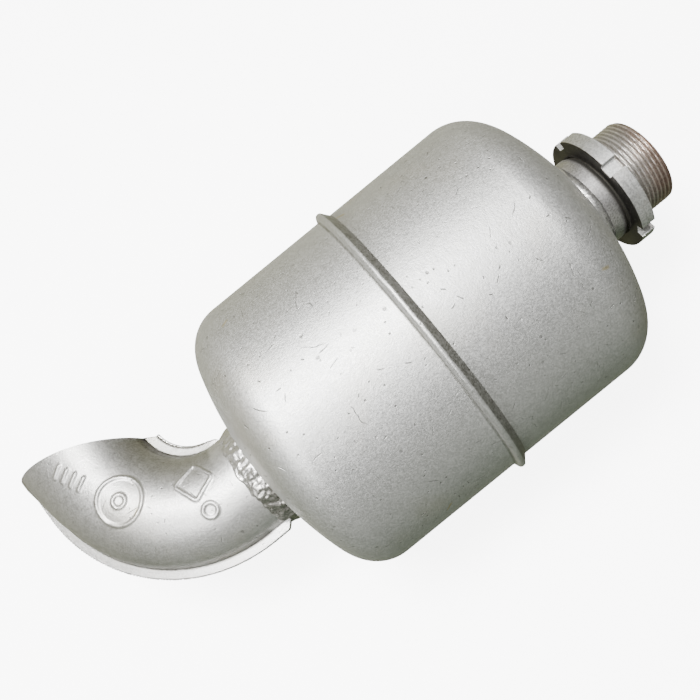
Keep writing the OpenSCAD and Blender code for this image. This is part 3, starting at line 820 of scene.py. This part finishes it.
def mark_frame(angle, out, turn, shape):
    """A raised mark's place on the upper half: its centre and two directions along the skin."""
    length = math.radians(angle) * BEND_R
    r = tube_r(length)
    z = math.sqrt(max(0, r * r - out * out))
    centre = on_path(length, out, z)
    normal = (centre - on_path(length, 0, 0)).normalized()
    along = (on_path(length + MM, out, z) - centre).normalized()
    across = normal.cross(along).normalized()
    e1 = along * math.cos(turn) + across * math.sin(turn)
    return centre, e1, normal.cross(e1), shape


def ring_mark(r):
    """A circle. Each mark is a function that gives the gap to its middle line from a point (a, b)."""
    return lambda a, b: abs(math.hypot(a, b) - r)


def bar_mark(count, step, half):
    """A row of short parallel ribs."""
    def gap(a, b):
        nearest = clamp(round(a / step + (count - 1) / 2), 0, count - 1) - (count - 1) / 2
        return math.hypot(a - nearest * step, max(0, abs(b) - half))
    return gap


def square_mark(half):
    """A plain square outline with round corners."""
    def gap(a, b):
        corner = 2 * MM
        x, y = abs(a) - half + corner, abs(b) - half + corner
        return abs(math.hypot(max(x, 0), max(y, 0)) + min(max(x, y), 0) - corner)
    return gap


def end_strip(first, outside, count):
    """Quads and triangles that close a half's end between its outside and its inside points."""
    faces = []
    for j in range(outside - 1):
        here = count - 1 - round(j / (outside - 1) * (INSIDE_POINTS - 1))
        there = count - 1 - round((j + 1) / (outside - 1) * (INSIDE_POINTS - 1))
        face = [first + j, first + j + 1, first + there]
        faces.append(tuple(face if here == there else face + [first + here]))
    return faces


def elbow_half(name, flip, marks=()):
    """One pressed half: sections swept along the path, each track ending on the mouth's surface."""
    count = len(section(0))
    outside = count - INSIDE_POINTS
    ends = [mouth_length(j, flip) for j in range(count)]
    sections = {}
    verts = []
    for i in range(STATIONS + 1):
        for j in range(count):
            length = -STRAIGHT_LEN + (ends[j] + STRAIGHT_LEN) * i / STATIONS
            key = round(length / SECTION_STEP)
            if key not in sections:
                sections[key] = section(length)
            out, z = sections[key][j]
            point = on_path(length, out, flip * z)
            if j < outside:
                axis = on_path(length, 0, 0)
                normal = (point - axis).normalized()
                lift = mark_height(point, marks) + 0.1 * MM * wobble(point, 18 * MM, 2)
                point = point + normal * (lift if z > PRESS_T * 1.6 else 0)
            verts.append(point)
    faces = grid_faces(STATIONS + 1, count, close_rows=False)
    for first in (0, STATIONS * count):
        faces += end_strip(first, outside, count)
    return new_object(name, verts, faces, 40)


MARKS = [
    mark_frame(56.6, -1.8 * MM, 0, ring_mark(11.7 * MM)),
    mark_frame(56.6, -1.8 * MM, 0, ring_mark(3.2 * MM)),
    mark_frame(85, 3.5 * MM, 0.42, bar_mark(4, 5 * MM, 3.4 * MM)),
    mark_frame(15, -10 * MM, 0.7, square_mark(7 * MM)),
    mark_frame(11.8, 6.2 * MM, 0, ring_mark(3.6 * MM)),
]

finish_piece(elbow_half("elbow_top", 1, MARKS), "silencer", ELBOW_PAINT, "silver_paint", "elbow_upper_half")
finish_piece(elbow_half("elbow_bottom", -1), "silencer", ELBOW_PAINT, "silver_paint", "elbow_lower_half")


def edge_bead(side, start, end, width):
    """Blobs of the thin bead along the joined edges of two flanges: side 1 is the outer, -1 the inner."""
    dice = random.Random(side)
    centres = []
    length = start
    while length < end:
        wide = WIDEN_W * takeover(length) if side > 0 else 0
        out = side * (tube_r(length) + wide + width(length) - 0.15 * MM)
        size = dice.uniform(0.8, 1.15)
        centres.append((on_path(length, out, 0), (1.1 * MM, 0.4 * MM * size, 0.55 * MM)))
        length += 1.0 * MM * dice.uniform(0.7, 1.2)
    return centres


def root_bead():
    """Rough hand-laid weld between the elbow and the rear dome, thickest on the bend's inner side."""
    low_x, high_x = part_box("elbow_root_weld")[0][0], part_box("elbow_root_weld")[1][0]
    inside_r = ELBOW_R - 0.8 * MM
    outline = [(inside_r, high_x), (inside_r, low_x - 0.5 * MM)]
    steps = 40
    for i in range(steps + 1):
        share = i / steps
        crown = math.sin(math.pi * (0.05 + 0.6 * share)) ** 0.6
        outline.append((inside_r + 3.1 * MM * crown + 1.2 * MM * share,
                        low_x - 0.5 * MM + (high_x - low_x + 0.5 * MM) * share))

    def lumps(point):
        share = clamp((math.hypot(point.y, point.z) - inside_r) / (1.2 * MM))
        turn = math.atan2(point.y, point.z)
        ridges = wobble((point.x * 0.35, turn * ELBOW_R, 0), 3.2 * MM, 8)
        lump = 1.1 * MM * wobble(point, 7 * MM, 7) + 0.9 * MM * ridges + 0.5 * MM * wobble(point, 2 * MM, 2)
        drift = 2.2 * MM * wobble(point, 8 * MM, 1) + 0.8 * MM * wobble(point, 3 * MM, 6)
        seen = clamp((high_x - point.x) / (5 * MM))
        corner = clamp(point.y / (20 * MM) - 0.6)
        outwards = lump * (1 - 0.5 * corner) - 0.3 * MM - 1.2 * MM * corner
        along = (drift - 3.5 * MM * corner) * seen
        moved = point + (radial(point) * outwards + Vector((along, 0, 0))) * share
        return moved + Vector((0, ELBOW_SHIFT, 0))

    return lathe("root_bead", outline, 720, lumps, 60)


finish_piece(root_bead(), "silencer", WELD_PAINT, "painted_weld", "elbow_root_weld")
OUTER_BLOBS = edge_bead(1, CORNER_CUT + 2 * MM - STRAIGHT_LEN, BEND_LEN + 12 * MM, outer_flange)
INNER_BLOBS = edge_bead(-1, 9 * MM, 74 * MM, inner_flange)
OUTER_BEAD = weld_bead("outer_edge_bead", OUTER_BLOBS, 2)
INNER_BEAD = weld_bead("inner_edge_bead", INNER_BLOBS, 3)
finish_piece(OUTER_BEAD, "silencer", WELD_PAINT, "painted_weld", "elbow_outer_seam_weld")
finish_piece(INNER_BEAD, "silencer", WELD_PAINT, "painted_weld", "elbow_inner_seam_weld")


# ---------------------------------------------------------------- inner parts keep their CAD shapes

SLOT_LOOKS = {"bare_steel": STEEL, "bare_weld": WELD}
for part in frame["record"]["subparts"]:
    look = SLOT_LOOKS.get(part["material_slot"])
    if look:
        node = frame["nodes"][part["node"]]
        node.data.materials.clear()
        node.data.materials.append(look)


# ---------------------------------------------------------------- studio

MIDDLE = (-0.19, 0.0, 0.0)
ELBOW_MIDDLE = (-0.28, 0.0, 0.0)


def studio_floor():
    """A pale floor that glows as a lit sweep does, and neither lights the part nor shows in it."""
    size = 4
    z = cad_box[0][2]
    corners = [(-size, -size, z), (size, -size, z), (size, size, z), (-size, size, z)]
    floor = new_object("floor", corners, [(0, 1, 2, 3)])
    material, tree, place, _ = start_material("studio_floor")
    tone = noise_node(tree, place, 6, 2)
    colour = mix(tree, ramp(tree, tone, 0.3, 0.7), (0.86, 0.86, 0.86, 1), (0.88, 0.88, 0.88, 1))
    end_material(tree, colour, 0.0, ramp(tree, tone, 0.3, 0.7, 0.75, 0.8), tone, 0.02 * MM)
    shader = tree.nodes["Principled BSDF"]
    shader.inputs["Emission Color"].default_value = (1, 1, 1, 1)
    shader.inputs["Emission Strength"].default_value = 6.0
    floor.data.materials.append(material)
    floor.visible_glossy = False
    floor.visible_diffuse = False


def area_light(name, place, target, size, watts):
    data = bpy.data.lights.new(name, "AREA")
    data.shape = "RECTANGLE"
    data.size, data.size_y = size
    data.energy = watts
    light = bpy.data.objects.new(name, data)
    bpy.context.scene.collection.objects.link(light)
    light.location = place
    light.rotation_euler = (Vector(target) - Vector(place)).to_track_quat("-Z", "Y").to_euler()


def studio_world():
    """A dim room: palest towards +Y, darkest low at -Y, darker above and at the thread's end."""
    world = bpy.data.worlds.new("studio")
    world.use_nodes = True
    tree = world.node_tree
    place = add(tree, "ShaderNodeTexCoord").outputs["Generated"]
    parts = add(tree, "ShaderNodeSeparateXYZ", {0: place}).outputs
    across = ramp(tree, parts["Y"], -0.9, 0.9)
    low = mix(tree, across, (0.09, 0.135, 0.08, 1), (0.62, 0.61, 0.38, 1))
    level = mix(tree, across, (0.5, 0.52, 0.46, 1), (0.64, 0.62, 0.46, 1))
    wall = mix(tree, ramp(tree, parts["Z"], -0.6, 0.0), low, level)
    wall = mix(tree, ramp(tree, parts["X"], 0.2, 0.9, 0.0, 0.5), wall, (0.02, 0.02, 0.02, 1))
    colour = mix(tree, ramp(tree, parts["Z"], 0.1, 0.8), wall, (0.3, 0.3, 0.3, 1))
    tree.links.new(colour, tree.nodes["Background"].inputs["Color"])
    bpy.context.scene.world = world


def camera():
    """Looks down at the part and is rolled, so that the barrel runs up to the right."""
    data = bpy.data.cameras.new("camera")
    data.lens = 41.14
    data.sensor_width = 36
    data.clip_start = 0.01
    obj = bpy.data.objects.new("camera", data)
    bpy.context.scene.collection.objects.link(obj)
    place = Vector((-0.17161, -0.09919, 0.39784))
    target = Vector((-0.17554, 0.01894, 0))
    roll = math.radians(-41.06)
    obj.rotation_mode = "QUATERNION"
    obj.rotation_quaternion = (target - place).to_track_quat("-Z", "Y") @ Matrix.Rotation(
        roll, 3, "Z").to_quaternion()
    obj.location = place
    bpy.context.scene.camera = obj


studio_floor()
studio_world()
area_light("key", (-0.31, 0.19, 1.0), MIDDLE, (0.38, 0.3), 29)
area_light("side", (-0.56, -0.25, 0.6), ELBOW_MIDDLE, (0.25, 0.25), 3)
area_light("broad", (-0.16, 0.12, 1.4), MIDDLE, (1.1, 1.3), 15)
camera()
